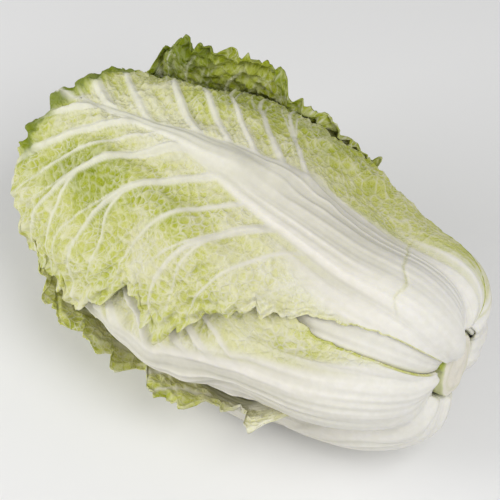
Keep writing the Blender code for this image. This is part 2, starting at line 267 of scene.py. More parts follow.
PROFILE_M, PROFILE_ALONG, PROFILE_RADIUS = heart_profile()
OVER_TOP = PROFILE_M[-1]  # the way over the heart's skin, from pole to pole
STEM_M = float(np.interp(STEM_RADIUS + FIT_GAP, PROFILE_RADIUS[:500], PROFILE_M[:500]))


def skin(m):
    """(along, radius, outward normal's along and radial parts) of the heart's skin."""
    along = np.interp(m, PROFILE_M, PROFILE_ALONG)
    radius = np.interp(m, PROFILE_M, PROFILE_RADIUS)
    before, after = np.maximum(m - NORMAL_REACH, 0), np.minimum(m + NORMAL_REACH, OVER_TOP)
    d_along, d_radius = (
        np.interp(after, PROFILE_M, profile) - np.interp(before, PROFILE_M, profile)
        for profile in (PROFILE_ALONG, PROFILE_RADIUS)
    )
    size = np.hypot(d_along, d_radius)
    return along, radius, -d_radius / size, d_along / size


def bent(points):
    """Points with the stem end of the head bent a little."""
    share = smoothstep(STEM_END_X - BUTT_BEND_LENGTH, STEM_END_X, points[..., 0])[..., None]
    return points + share * np.array([0.0, *BUTT_BEND])


def frame_at(m, turn, h):
    """(point, outward normal, direction of increasing turn), as (..., 3) arrays in world space."""
    along, radius, out_along, out_radius = skin(m)
    sine, cosine = np.sin(np.radians(turn)), np.cos(np.radians(turn))
    reach = radius + h * out_radius
    point = np.stack(
        [STEM_END_X - along - h * out_along, AXIS_Y - reach * sine, AXIS_HEIGHT + reach * cosine], -1
    )
    point = bent(point)
    normal = np.stack([-out_along, -out_radius * sine, out_radius * cosine], -1)
    sideways = np.stack([np.zeros_like(sine), -cosine, -sine], -1)
    return point, normal, sideways


# ---------------------------------------------------------------- laying leaves over each other


def grid_place(m, turn):
    return m / OVER_TOP * (LAY_ROWS - 1), (turn % 360) / 360 * LAY_TURNS


def reach_of(laid, m, turn):
    """The height of the laid leaves at a place, read smoothly between cells."""
    row, column = grid_place(m, turn)
    row = np.clip(row, 0, LAY_ROWS - 1.001)
    i, j = row.astype(int), np.floor(column).astype(int)
    a, b = row - i, column - j
    j, k = j % LAY_TURNS, (j + 1) % LAY_TURNS
    near = (1 - b) * laid[i, j] + b * laid[i, k]
    far = (1 - b) * laid[i + 1, j] + b * laid[i + 1, k]
    return (1 - a) * near + a * far


def shifted(laid, rows, turns):
    """The grid moved by whole cells: round in turn, and held at its ends along m."""
    index = np.clip(np.arange(LAY_ROWS) + rows, 0, LAY_ROWS - 1)
    return np.roll(laid[index], -turns, axis=1)


def neighbours(laid, axis):
    """The grid moved along one axis by every step of a bridge."""
    return [shifted(laid, step * axis[0], step * axis[1]) for step in range(-BRIDGE, BRIDGE + 1)]


def bridged(laid):
    """The laid surface as the next leaf feels it: its crests widened, then smoothed."""
    axes = ((1, 0), (0, 1))
    for axis in axes:
        laid = np.max(neighbours(laid, axis), axis=0)
    for axis in axes * 2:
        laid = np.mean(neighbours(laid, axis), axis=0)
    return laid


# ---------------------------------------------------------------- a leaf's form


def rib_turn(leaf, u):
    return leaf.turn + leaf.lean * smoothstep(0.2, 1, u)


def place(leaf, u, c):
    """(m, turn, v, distance to the nearest loose margin) of a point of the leaf, with its teeth and lobes."""
    v = c * (1.3 - 0.3 * c * c)  # the columns lie closer toward the margins
    half_width = np.where(v < 0, smooth_through(leaf.right, u), smooth_through(leaf.left, u))
    start = STEM_M + BASE_GAP + BASE_ROUNDING * np.abs(v) ** 4
    end = OVER_TOP * leaf.tip - leaf.shoulder * np.abs(v) ** 2.5 + leaf.tip_lean * v * (1 - v * v)
    m = start + (end - start) * u
    turn = rib_turn(leaf, u) + half_width * v
    side = np.sign(v)
    edge = margin_weight(u, v)
    tooth = np.cos(math.pi * leaf.rows * u + 2.5 * noise(9 * u, side + 3, leaf.seed))
    turn += side * edge * (TOOTH * tooth + LOBE * lobes(26 * u, 4 + side, leaf.seed + 1))
    turn += side * edge ** 3 * SMALL_LOBE * lobes(46 * u, 8 + side, leaf.seed + 2)
    very_edge = np.abs(v) ** 12 * smoothstep(0.08, 0.14, u)
    turn += side * very_edge * NOTCH * lobes(75 * u, 11 + side, leaf.seed + 28)
    top = smoothstep(0.9, 1, u) * (1 - v * v)
    tooth = np.cos(math.pi * leaf.columns / 2 * (c + 1))
    m = m + top * (TIP_TOOTH * tooth + TIP_LOBE * noise(9 * c, u, leaf.seed + 3))
    m = m + top * TIP_NOTCH * noise(38 * c, u, leaf.seed + 4)
    from_side = (1 - np.abs(v)) * np.radians(half_width) * (skin(m)[1] + BLADE_OFF_RIB)
    from_top = (1 - u) * (end - start)
    loose = smoothstep(0.22, 0.42, u)
    margin = np.minimum(from_side + NO_MARGIN * (1 - loose), from_top)
    return m, turn, v, margin


def margin_weight(u, v):
    """1 at the loose margins, 0 well inside the leaf and along its base."""
    side = smoothstep(0.70, 1, np.abs(v)) * smoothstep(0.16, 0.42, u)
    return np.maximum(side, smoothstep(0.86, 1, u))


def rib_thickness(leaf, u, v, across):
    """How much thicker than its blade the leaf is."""
    width = leaf.rib_width * (1 - 0.91 * smoothstep(0.15, 0.88, u))
    inside = np.clip(1 - (across / width) ** 2 - v ** 4, 0, 1) ** 1.5
    base = smooth_through(BUTT_SHARES, u)
    return leaf.rib * base * inside * (1 - 0.78 * smoothstep(0.1, 0.9, u))


def white_width(leaf, u):
    """Half the width of the rib's white, in metres."""
    return leaf.rib_width * leaf.white * smooth_through(WHITE_SHARES, u)


def relief(leaf, u, along, across):
    """(height, whiteness of the veins, how far the blade and its small veins stand up) at places given in
    metres. The last gives the blade painted shade in its hollows.
    """
    seed = leaf.seed
    side, a = np.sign(across), np.abs(across)
    out = np.clip(a / LEAF_HALF_WIDTH, 0, 1)

    # lateral veins run where the phase is whole
    bend = LATERAL_BEND * noise(along / 0.055, across / 0.045, seed + 5)
    bend = bend + LATERAL_WOBBLE * noise_of(0.013, along, across, seed + 14)
    phase = (along + bend - LATERAL_START * a + a * a / LATERAL_TURN) / leaf.lateral
    phase = phase + 0.37 * side + 0.50 * noise(phase * 0.7, side * 2 + 5, seed + 6)
    k = np.round(phase)
    steep = LATERAL_START - 2 * a / LATERAL_TURN
    to_metres = leaf.lateral / np.sqrt(1 + steep * steep)
    strong = 0.78 + 0.22 * np.clip(2 * noise(k * 1.7 + 0.5, side * 3 + 9, seed + 7), -1, 1)
    strong = strong * smoothstep(0.8, 3.5, k)
    width = LATERAL_WIDTH * (1 - 0.72 * smoothstep(0, 1, out)) * (0.6 + 0.4 * strong)
    lateral = crest(np.abs(phase - k) * to_metres, width, 1.5) * strong
    # each forks on its way out
    fork = np.abs(np.abs(phase - k) - 0.42 * smoothstep(0.30, 0.85, out)) * to_metres
    fork = crest(fork, 0.6 * width, 1.5) * smoothstep(0.25, 0.45, out) * 0.6 * strong
    lateral = np.maximum(lateral, fork)
    core = smoothstep(0.0, 0.55, lateral)

    # near the midrib finer veins run along with the laterals
    fan = np.abs(3 * phase - np.round(3 * phase)) * to_metres / 3
    fan = crest(fan, FAN_WIDTH, 1) * (1 - smoothstep(0.05, 0.40, out)) * smoothstep(0.5, 2.0, k)

    # secondary veins cross from one lateral to the next
    between = phase - np.floor(phase)
    lean = np.where(np.floor(phase) % 2 > 0, 1, -1)
    cross = a * 1.3 / SECONDARY_SPACING + 1.3 * between * lean + 3.1 * np.floor(phase)
    cross = cross + 0.8 * noise_of(0.010, along, across, seed + 8)
    secondary = crest(np.abs(cross - np.round(cross)) * SECONDARY_SPACING / 1.5, SECONDARY_WIDTH, 2)
    secondary = secondary * (0.5 + 0.5 * noise_of(0.02, along, across, seed + 15))

    # the net of small veins and the blisters between them
    warp = 0.9 * noise_of(0.013, along, across, seed + 9) + 0.35 * noise_of(0.005, along, across, seed + 16)
    _, edge = cells(along / NET_CELL + warp, across / NET_CELL - warp, seed + 10)
    net = 1 - smoothstep(0.0, 0.30, edge)
    near, _ = cells(along / BLISTER + warp, across / BLISTER + warp, seed + 11)
    puff = 1 - smoothstep(0.1, 0.75, near)
    broad = noise(along / 0.022, across / 0.015, seed + 12)

    beside_rib = a / white_width(leaf, u)
    blade = smoothstep(0.85, 1.45, beside_rib) * smoothstep(0.06, 0.22, u)
    calm = 0.35 + 0.65 * smoothstep(0.22, 0.5, u)
    height = leaf.blister * (0.8 * puff + 1.1 * broad) + NET_HEIGHT * net + SECONDARY_HEIGHT * secondary
    height = blade * calm * (1 - 0.7 * core) * height
    folds = noise(along / 0.030 + warp / 3, across / 0.019, seed + 17)
    height = height + leaf.fold * folds * smoothstep(0.018, 0.05, a) * smoothstep(0.35, 0.6, u)
    risen = smoothstep(0.35, 1.2, beside_rib) * (0.3 + 0.7 * blade)
    height = height + LATERAL_HEIGHT * (1 - 0.45 * out) * lateral * risen
    height = height + FAN_HEIGHT * blade * fan
    fine_veins = np.maximum(np.maximum(0.60 * secondary, 0.42 * net), 0.65 * fan)
    fine_veins = fine_veins * (1 - 1.6 * max(leaf.green, 0))
    white = np.maximum(core * (1 - 0.25 * out), blade * fine_veins)
    return height, white, puff + 0.6 * broad + 1.1 * net - 0.4


def crack_of(leaf, v, along):
    """How deep in the crack a place is, from 0 to 1."""
    if not leaf.crack:
        return 0.0
    line = CRACK_PLACE - CRACK_SLOPE * v + CRACK_WAVE * noise(4 * v, 2.0, leaf.seed + 29)
    ends = smoothstep(-0.95, -0.8, v) * (1 - smoothstep(0.6, 0.75, v))
    return np.exp(-(((along - line) / CRACK_WIDTH) ** 2)) * ends


def stripes_of(leaf, u, along, across):
    """The lengthwise stripes of the rib, which narrow with it."""
    narrow = 1 - 0.55 * smoothstep(0.1, 0.9, u)
    stripes = noise(across / (STRIPE_WIDTH * narrow), along / 0.09, leaf.seed + 24)
    return stripes + 0.7 * noise(across / (BROAD_STRIPE_WIDTH * narrow), along / 0.12, leaf.seed + 25)


def waves_of(leaf, u, v, c, frill, along, across):
    """How far the leaf's waves and its crumpled margin stand off its seat."""
    weight = margin_weight(u, v)
    phase_u = leaf.rows * u + 1.6 * noise(7 * u, 3 * c, leaf.seed + 20)
    phase_c = leaf.columns / 2 * (c + 1) + noise(5 * u, 4 * c, leaf.seed + 21)
    fine = np.cos(math.pi * phase_u) * np.cos(math.pi * phase_c)
    broad = np.sin(2 * math.pi * (leaf.rows / 7 * u + 0.3 * np.sign(c)) + leaf.turn)
    wide = smoothstep(0.35, 0.95, np.abs(v)) * smoothstep(0.2, 0.5, u)
    lift = leaf.ruffle * (weight * (1 + fine) / 2 + wide * (1 + broad) / 2)
    lift = lift + leaf.flare * smoothstep(0.78, 1, u) ** 2
    crumple = noise_of(0.0042, along, across, leaf.seed + 22)
    crumple = crumple + 0.5 * noise_of(0.0022, along, across, leaf.seed + 23)
    return lift + frill * leaf.crumple * (0.7 + crumple) / 1.4


def heights(leaf, u, c, laid, felt):
    """(m, turn, seat under the leaf, waves, relief of veins, thickness, colour fields, places in metres)."""
    m, turn, v, margin = place(leaf, u, c)
    across = np.radians(turn - rib_turn(leaf, u)) * (skin(m)[1] + BLADE_OFF_RIB)
    along = m - STEM_M
    frill = 1 - smoothstep(FRILL_FULL, FRILL, margin)
    lift = waves_of(leaf, u, v, c, frill, along, across)
    veins, white, puff = relief(leaf, u, along, across)
    veins = veins * (1 - 0.8 * frill)
    crack = crack_of(leaf, v, along)
    rib = rib_thickness(leaf, u, v, across)
    inside = 1 - np.abs(across) / white_width(leaf, u)
    stripes = stripes_of(leaf, u, along, across)
    ridge = STRIPE_HEIGHT * (stripes + 0.6) * smoothstep(-0.4, 0.2, inside) * smoothstep(0.02, 0.15, u)

    patches = noise_of(0.03, along, across, leaf.seed + 26)
    patches = patches + 0.6 * noise_of(0.008, along, across, leaf.seed + 27)
    pale = smoothstep(0.30, 0.75, v * leaf.pale_side)
    toward_tip = smoothstep(0.60, 0.82, u)
    dark = frill * toward_tip * (1 - pale)
    tone = -0.02 + 0.72 * smoothstep(0.10, 0.75, u) * smoothstep(0.0, 0.045, np.abs(across))
    # painted shade: the blade is greener in the hollows between its blisters and paler on their tops; the
    # small veins' paleness is their own colour
    tone = tone + 0.24 * patches - 0.12 * puff
    tone = tone + (0.10 + leaf.edge * toward_tip) * frill * (1 - pale) - 0.45 * pale + leaf.green
    rim = smoothstep(0.965, 0.99, np.abs(v)) * smoothstep(0.0, 0.03, u) * (1 - smoothstep(0.15, 0.3, u))
    upper = smoothstep(0.35, 0.60, u)
    rib_edge = inside + (0.22 - 0.16 * upper) * stripes
    in_rib = smoothstep(-0.65 + 0.40 * upper, 0.10 - 0.05 * upper, rib_edge)
    whiteness = np.maximum(white * (1 - 0.9 * dark), in_rib)
    fields = {
        "white": np.clip(whiteness * (1 - rim) * (1 - 0.45 * crack), 0, 1),
        "tone": np.clip(tone + 0.4 * rim, -0.8, 1.2),
        "stripe": stripes * smoothstep(-0.5, 0.3, inside),
        "along": u,
    }

    # a smooth margin near the base hugs what is under it
    seat = reach_of(felt, m, turn) + leaf.gap * (1 - 0.7 * smoothstep(0.45, 0.9, u))
    hug = smoothstep(0.72, 1.0, np.abs(v)) * (1 - smoothstep(0.25, 0.45, u))
    seat = seat + hug * (reach_of(laid, m, turn) + HUG_GAP - seat)
    thick = BLADE * (1 - 0.45 * hug) + rib
    return m, turn, seat, lift, veins + ridge - CRACK_DEPTH * crack, thick, fields, (along, across)


def leaf_grid(rows, columns):
    """(u, c) at the points of a grid over a leaf."""
    return np.meshgrid(np.linspace(0, 1, rows), np.linspace(-1, 1, columns), indexing="ij")


def lay(leaf, laid):
    """The grid with this leaf laid on it."""
    u, c = leaf_grid(LEAF_ROWS, LEAF_COLUMNS)
    m, turn, seat, lift, veins, thick, _, _ = heights(leaf, u, c, laid, bridged(laid))
    row, column = grid_place(m, turn)
    laid = laid.copy()
    cell = np.rint(row).astype(int), np.rint(column).astype(int) % LAY_TURNS
    np.maximum.at(laid, cell, seat + lift + thick + veins * 0.7)
    return laid


def faces_of(leaf, u, c, laid, felt):
    """(outer points, inner points, colour fields, places in metres) of a leaf."""
    m, turn, seat, lift, veins, thick, fields, places = heights(leaf, u, c, laid, felt)
    path, normal, _ = frame_at(m, turn, seat)
    if leaf.under == 1:
        lift = lift + veins
    else:
        thick = thick + veins - min(veins.min(), 0)
    for side, peel in leaf.peel.items():
        # past its release the leaf bends outward round a cylinder, and the table stops it
        share = peel.release + (1.05 - peel.release) * (1 - smoothstep(peel.start, peel.full, u))
        half = smooth_through(leaf.left if side > 0 else leaf.right, u)
        release_turn = rib_turn(leaf, u) + side * share * half
        past = np.radians(np.maximum(side * (turn - release_turn), 0))
        held = reach_of(felt, m, release_turn) + leaf.gap
        base, out, sideways = frame_at(m, release_turn, held)
        round_radius = skin(m)[1] + held
        way = past * round_radius
        bend = peel.curl * way
        rise = np.maximum(seat - held - way * way * (peel.curl + 1 / round_radius) / 2, 0)
        along, off = np.sin(bend)[..., None], np.cos(bend)[..., None]
        loose = base + (side * sideways * along + out * (1 - off)) / peel.curl + out * rise[..., None]
        loose[..., 2] = np.maximum(loose[..., 2], thick)
        is_loose = (past > 0)[..., None]
        path = np.where(is_loose, loose, path)
        normal = np.where(is_loose, out * off - side * sideways * along, normal)
        lift = np.where(past > 0, lift * peel.waves, lift)
    inner = path + normal * lift[..., None]
    outer = inner + normal * thick[..., None]
    inner[..., 2] = np.maximum(inner[..., 2], BLADE)
    outer[..., 2] = np.maximum(outer[..., 2], 0)
    return outer, inner, fields, places


# ---------------------------------------------------------------- meshes


def shell_faces(rows, columns, under):
    """Faces of a closed shell between two grids of points, outer grid first.

    The inner grid has under times fewer rows and columns.
    """
    count = (rows + 1) * (columns + 1)
    outer, outer_rim = grid_faces(rows, columns)
    inner, inner_rim = grid_faces(rows // under, columns // under)
    faces = outer[:, ::-1].tolist() + (inner + count).tolist()
    steps = len(outer_rim)
    for i, start in enumerate(inner_rim):
        end = inner_rim[(i + 1) % len(inner_rim)]
        run = [outer_rim[(i * under + k) % steps] for k in range(under + 1)]
        if under == 1:
            faces.append([*run, end + count, start + count])
        else:
            faces.append([*run[:2], start + count])
            faces += [[run[1], end + count, start + count], [run[1], run[2], end + count]]
    return faces


def grid_faces(rows, columns):
    """(quads of a grid, its points in order round the rim)."""
    i, j = np.meshgrid(np.arange(rows), np.arange(columns), indexing="ij")
    a = (i * (columns + 1) + j).ravel()
    b, d = a + 1, a + columns + 1
    rim = list(range(columns))
    rim += [i * (columns + 1) + columns for i in range(rows)]
    rim += [rows * (columns + 1) + j for j in range(columns, 0, -1)]
    rim += [i * (columns + 1) for i in range(rows, 0, -1)]
    return np.stack([a, b, d + 1, d], 1), rim


def tube_faces(rows, turns, start_pole, end_pole):
    """Faces of a closed form of revolution, whose points go round row by row, with a pole at each end."""
    faces = []
    for j in range(turns):
        k = (j + 1) % turns
        faces.append([start_pole, j, k])
        for start in range(0, (rows - 1) * turns, turns):
            faces.append([start + j, start + turns + j, start + turns + k, start + k])
        faces.append([end_pole, (rows - 1) * turns + k, (rows - 1) * turns + j])
    return faces


def link(name, data):
    made = bpy.data.objects.new(name, data)
    bpy.context.scene.collection.objects.link(made)
    return made


def mesh_object(name, points, faces, finish, fields, places=None):
    """A mesh with a number at each point for each colour field, and its places in metres as a map."""
    mesh = bpy.data.meshes.new(name)
    mesh.from_pydata(points.tolist(), [], faces)
    mesh.materials.append(finish)
    for key, values in fields.items():
        layer = mesh.attributes.new(key, "FLOAT", "POINT")
        layer.data.foreach_set("value", values.astype(np.float32).ravel())
    if places is not None:
        layer = mesh.uv_layers.new(name="leaf_place")
        corners = np.empty(len(mesh.loops), int)
        mesh.loops.foreach_get("vertex_index", corners)
        layer.data.foreach_set("uv", places[corners].astype(np.float32).ravel())
    mesh.shade_smooth()
    return link(name, mesh)


def map_of(along, across, start=0.5):
    """Places in metres as a map. The start keeps the patterns of two leaves apart."""
    return np.stack([along, across], 1) * UV_SCALE + start


def fine_leaf(leaf, laid, finish):
    rows, columns = leaf.fine
    u, c = leaf_grid(rows + 1, columns + 1)
    outer, inner, fields, places = faces_of(leaf, u, c, laid, bridged(laid))
    step = leaf.under

    def on_both_faces(grid):
        return np.concatenate([grid.ravel(), grid[::step, ::step].ravel()])

    points = np.concatenate([outer.reshape(-1, 3), inner[::step, ::step].reshape(-1, 3)])
    fields = {key: on_both_faces(values) for key, values in fields.items()}
    places = map_of(on_both_faces(places[0]), on_both_faces(places[1]), 0.5 + leaf.seed)
    piece = mesh_object(leaf.name + "_fine", points, shell_faces(rows, columns, step), finish, fields, places)
    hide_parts(leaf.name)
    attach(piece, "root")


def fine_heart(finish):
    """The heart: leaves wrapped so close that they show as folds running round it."""
    m, turn = np.meshgrid(
        np.linspace(0, OVER_TOP, HEART_ROWS + 1)[1:-1],
        np.arange(HEART_TURNS) * 360 / HEART_TURNS,
        indexing="ij",
    )
    u = m / OVER_TOP
    cosine, sine = np.cos(np.radians(turn)), np.sin(np.radians(turn))
    way = m / HEART_WRINKLE_LENGTH
    wrinkle = (noise(way, 5 * cosine, 60) + noise(way, 5 * sine, 61)) / 2
    fold = np.cos(np.radians(HEART_FOLDS * turn) + HEART_TWIST * u + 1.5 * wrinkle)
    height = -HEART_SUNK - HEART_FOLD_DEPTH * (1 - fold) + HEART_WRINKLE * wrinkle
    points, _, _ = frame_at(m, turn, height)
    ends, _, _ = frame_at(np.array([0.0, OVER_TOP]), np.zeros(2), np.full(2, -HEART_SUNK))
    points = np.concatenate([points.reshape(-1, 3), ends])

    def with_ends(grid):
        return np.append(grid.ravel(), [grid[0, 0], grid[-1, 0]])

    tone = 0.10 + 0.35 * smoothstep(0.6, 1.0, u) + 0.25 * wrinkle - 0.15 * fold
    fields = {
        "white": with_ends(0.7 * smoothstep(0.55, 1.0, fold)),
        "tone": with_ends(tone),
        "stripe": with_ends(np.zeros_like(u)),
        "along": with_ends(np.full_like(u, 0.6)),
    }
    places = map_of(with_ends(m), with_ends(np.radians(turn) * HEART_RADIUS))
    faces = tube_faces(HEART_ROWS - 1, HEART_TURNS, len(points) - 2, len(points) - 1)
    piece = mesh_object("heart_fine", points, faces, finish, fields, places)
    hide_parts("heart")
    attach(piece, "root")


def fine_stem(finish):
    """The cut stem: an uneven disc with the stub of an outer leaf at its edge, and a collar under both."""
    ring, turn = np.meshgrid(
        np.arange(1, STEM_RINGS + 1), np.arange(STEM_SIDES) * 2 * math.pi / STEM_SIDES, indexing="ij"
    )
    share = ring / STEM_RINGS
    cosine, sine = np.cos(turn), np.sin(turn)
    # out over the face, round its edge, then down inside the leaf bases
    on_face = np.clip(share / STEM_FACE_SHARE, 0, 1)
    down = np.clip((share - STEM_FACE_SHARE) / (1 - STEM_FACE_SHARE), 0, 1)
    rim = STEM_FACE_RADIUS * (1 + 0.02 * noise(turn * 3 / math.pi, 3.0, 40) + 0.02 * np.cos(2 * turn))
    stub = np.exp(-((np.degrees(turn) - STUB_TURN) / STUB_SPREAD) ** 2)
    radius = rim * on_face ** 0.8 + STUB_REACH * stub * on_face ** 3 + STEM_COLLAR * smoothstep(0, 0.4, down)
    dome = STEM_ROUGHNESS * noise_of(STEM_ROUGHNESS_LENGTH, radius * cosine, radius * sine, 41)
    groove = STUB_GROOVE * stub * np.exp(-((radius - rim) / STUB_GROOVE_WIDTH) ** 2)
    fall = STEM_ROUNDING * on_face ** 8 + (STEM_DEPTH - STEM_ROUNDING) * down
    tilt = STEM_TILT_UP * radius * cosine - STEM_TILT_SIDE * radius * sine
    x = STEM_FACE_X + dome - groove - fall - tilt * (1 - down)
    points = np.stack([x, AXIS_Y - radius * sine, AXIS_HEIGHT + radius * cosine], -1)
    ends = [[STEM_FACE_X, AXIS_Y, AXIS_HEIGHT], [STEM_FACE_X - STEM_DEPTH, AXIS_Y, AXIS_HEIGHT]]
    points = bent(np.vstack([points.reshape(-1, 3), ends]))
    faces = tube_faces(STEM_RINGS, STEM_SIDES, len(points) - 2, len(points) - 1)
    from_axis = np.append((radius / rim).ravel(), [0.0, 2.0])
    piece = mesh_object("stem_fine", points, faces, finish, {"from_axis": from_axis})
    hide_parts("stem")
    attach(piece, "root")


# ---------------------------------------------------------------- materials

# Colours, linear
BLADE_WHITISH, BLADE_LOW, BLADE_PALE = (0.76, 0.75, 0.60), (0.66, 0.65, 0.34), (0.52, 0.54, 0.115)
BLADE_MIDDLE, BLADE_DEEP = (0.36, 0.405, 0.022), (0.175, 0.225, 0.001)
# The last rib colour is a painted highlight, laid on the ribs near the stem
RIB_SHADED, RIB_BRIGHT, RIB_BASE_HIGHLIGHT = (0.64, 0.62, 0.53), (0.80, 0.77, 0.70), (0.87, 0.855, 0.81)
VEIN_TIP = (0.76, 0.77, 0.60)


class Nodes:
    """Short ways to add and join the nodes of one material."""

    def __init__(self, name):
        self.material = bpy.data.materials.new(name)
        self.material.use_nodes = True
        self.tree = self.material.node_tree
        self.shader = self.tree.nodes["Principled BSDF"]

    def join(self, value, socket):
        if isinstance(value, bpy.types.NodeSocket):
            self.tree.links.new(value, socket)
        else:
            socket.default_value = value

    def shade(self, inputs):
        for key, value in inputs.items():
            self.join(value, self.shader.inputs[key])

    def attribute(self, name):
        node = self.tree.nodes.new("ShaderNodeAttribute")
        node.attribute_name = name
        return node.outputs["Fac"]

    def math(self, operation, a, b=0.0, c=0.0):
        node = self.tree.nodes.new("ShaderNodeMath")
        node.operation = operation
        for value, socket in zip((a, b, c), node.inputs):
            self.join(value, socket)
        return node.outputs[0]

    def spread(self, value, low, high, to_low=0.0, to_high=1.0):
        node = self.tree.nodes.new("ShaderNodeMapRange")
        node.interpolation_type = "SMOOTHSTEP"
        keys = ("Value", "From Min", "From Max", "To Min", "To Max")
        for key, number in zip(keys, (value, low, high, to_low, to_high)):
            self.join(number, node.inputs[key])
        return node.outputs[0]

    def mix(self, share, a, b):
        node = self.tree.nodes.new("ShaderNodeMix")
        node.data_type = "RGBA"
        self.join(share, node.inputs[0])
        self.join((*a, 1) if isinstance(a, tuple) else a, node.inputs[6])
        self.join((*b, 1) if isinstance(b, tuple) else b, node.inputs[7])
        return node.outputs[2]

    def places(self):
        node = self.tree.nodes.new("ShaderNodeUVMap")
        node.uv_map = "leaf_place"
        return node.outputs[0]

    def noise(self, scale, detail):
        node = self.tree.nodes.new("ShaderNodeTexNoise")
        node.inputs["Scale"].default_value = scale
        node.inputs["Detail"].default_value = detail
        place = self.tree.nodes.new("ShaderNodeTexCoord").outputs["Object"]
        self.tree.links.new(place, node.inputs["Vector"])
        return node.outputs["Fac"]

    def warp(self, vector, scale, reach):
        """Places moved about by a noise, so that straight lines drawn on them bend."""
        node = self.tree.nodes.new("ShaderNodeTexNoise")
        node.inputs["Scale"].default_value = scale
        self.tree.links.new(vector, node.inputs["Vector"])
        moved = self.tree.nodes.new("ShaderNodeVectorMath")
        moved.operation = "MULTIPLY_ADD"
        self.tree.links.new(node.outputs["Color"], moved.inputs[0])
        moved.inputs[1].default_value = (reach, reach, reach)
        self.tree.links.new(vector, moved.inputs[2])
        return moved.outputs[0]

    def tinted(self, colour, tint):
        node = self.tree.nodes.new("ShaderNodeMix")
        node.data_type, node.blend_type = "RGBA", "MULTIPLY"
        node.inputs[0].default_value = 1.0
        self.join(colour, node.inputs[6])
        self.join(tint, node.inputs[7])
        return node.outputs[2]

    def cell_edges(self, scale, vector):
        node = self.tree.nodes.new("ShaderNodeTexVoronoi")
        node.feature = "DISTANCE_TO_EDGE"
        node.inputs["Scale"].default_value = scale
        self.tree.links.new(vector, node.inputs["Vector"])
        return node.outputs["Distance"]

    def bump(self, height, strength, distance, normal=None):
        node = self.tree.nodes.new("ShaderNodeBump")
        node.inputs["Strength"].default_value = strength
        node.inputs["Distance"].default_value = distance
        self.tree.links.new(height, node.inputs["Height"])
        if normal is not None:
            self.tree.links.new(normal, node.inputs["Normal"])
        return node.outputs[0]


def leaf_material(name):
    n = Nodes(name)
    places = n.places()
    white, tone = n.attribute("white"), n.attribute("tone")
    stripe, along = n.attribute("stripe"), n.attribute("along")
    patches, fine = n.noise(28, 3), n.noise(260, 4)
    warped = n.warp(places, 9.0, 0.06)
    net, small_net = n.cell_edges(25, warped), n.cell_edges(64, warped)

    # the blade, from its palest to its deepest green
    tone = n.math("ADD", tone, n.math("MULTIPLY_ADD", patches, 0.3, -0.15))
    tone = n.math("ADD", tone, n.spread(small_net, 0.0, 0.25, -0.06, 0.04))
    blade = n.mix(n.spread(tone, -0.6, -0.1), BLADE_WHITISH, BLADE_LOW)
    blade = n.mix(n.spread(tone, -0.1, 0.22), blade, BLADE_PALE)
    blade = n.mix(n.spread(tone, 0.15, 0.55), blade, BLADE_MIDDLE)
    blade = n.mix(n.spread(tone, 0.50, 1.0), blade, BLADE_DEEP)

    # ribs and veins, with the finest veins drawn here
    rib = n.mix(n.spread(stripe, -1.0, 0.9), RIB_SHADED, RIB_BRIGHT)
    rib = n.mix(n.spread(along, 0.35, 0.9, 0.0, 0.5), rib, VEIN_TIP)
    # painted highlight: the ribs turn whiter near the stem, where the light falls on them
    rib = n.mix(n.spread(along, 0.02, 0.25, 0.8, 0.0), rib, RIB_BASE_HIGHLIGHT)
    shown = n.spread(n.noise(55, 2), 0.38, 0.62, 0.08, 0.52)
    net_lines = n.math("MULTIPLY", n.spread(net, 0.02, 0.15, 1.0, 0.0), shown)
    small_lines = n.math("MULTIPLY", n.spread(small_net, 0.0, 0.12, 1.0, 0.0), 0.12)
    net_lines = n.math("ADD", net_lines, small_lines)
    net_lines = n.math("MULTIPLY", net_lines, n.spread(tone, 0.4, 0.85, 1.0, 0.22))
    colour = n.mix(n.math("MAXIMUM", white, net_lines), blade, rib)
    colour = n.tinted(colour, n.mix(n.spread(fine, 0.35, 0.7), (0.955, 0.955, 0.94), (1.0, 1.0, 1.0)))

    in_blade = n.spread(white, 0.9, 0.3)
    ridges = n.math("MULTIPLY", n.spread(net, 0.0, 0.20, 1.0, 0.0), in_blade)
    small_ridges = n.math("MULTIPLY", n.spread(small_net, 0.0, 0.25, 1.0, 0.0), in_blade)
    normal = n.bump(ridges, 0.45, 0.0006)
    normal = n.bump(small_ridges, 0.25, 0.0003, normal)
    normal = n.bump(fine, 0.10, 0.0003, normal)
    normal = n.bump(stripe, 0.35, 0.0006, normal)
    n.shade(
        {
            "Base Color": colour,
            "Roughness": n.spread(white, 0.0, 1.0, 0.70, 0.42),
            "Subsurface Weight": 0.15,
            "Subsurface Radius": (1.0, 0.9, 0.35),
            "Subsurface Scale": 0.002,
            "Specular IOR Level": 0.12,
            "Normal": normal,
        }
    )
    return n.material


def stem_material():
    n = Nodes("stem_flesh")
    wavy = n.math("ADD", n.attribute("from_axis"), n.math("MULTIPLY_ADD", n.noise(120, 2), 0.12, -0.06))
    ring = n.math("MULTIPLY", n.spread(wavy, 0.62, 0.74), n.spread(wavy, 0.74, 0.88, 1.0, 0.0))
    colour = n.mix(n.math("MULTIPLY", ring, 0.35), (0.80, 0.76, 0.66), (0.62, 0.62, 0.38))
    colour = n.mix(n.spread(n.noise(500, 5), 0.5, 0.75, 0.0, 0.3), colour, (0.66, 0.61, 0.46))
    colour = n.mix(n.spread(wavy, 0.93, 1.02), colour, (0.58, 0.60, 0.32))
    colour = n.mix(n.spread(wavy, 1.10, 1.35), colour, (0.36, 0.42, 0.07))
    n.shade(
        {
            "Base Color": colour,
            "Roughness": 0.6,
            "Subsurface Weight": 0.2,
            "Subsurface Radius": (1.0, 0.9, 0.6),
            "Subsurface Scale": 0.003,
            "Specular IOR Level": 0.2,
            "Normal": n.bump(n.noise(700, 5), 0.5, 0.0006),
        }
    )
    return n.material


# ---------------------------------------------------------------- stage and camera


def aim(made, place, direction):
    """Puts a light or a camera at a place, looking along a direction."""
    made.location = place
    made.rotation_euler = direction.to_track_quat("-Z", "Y").to_euler()


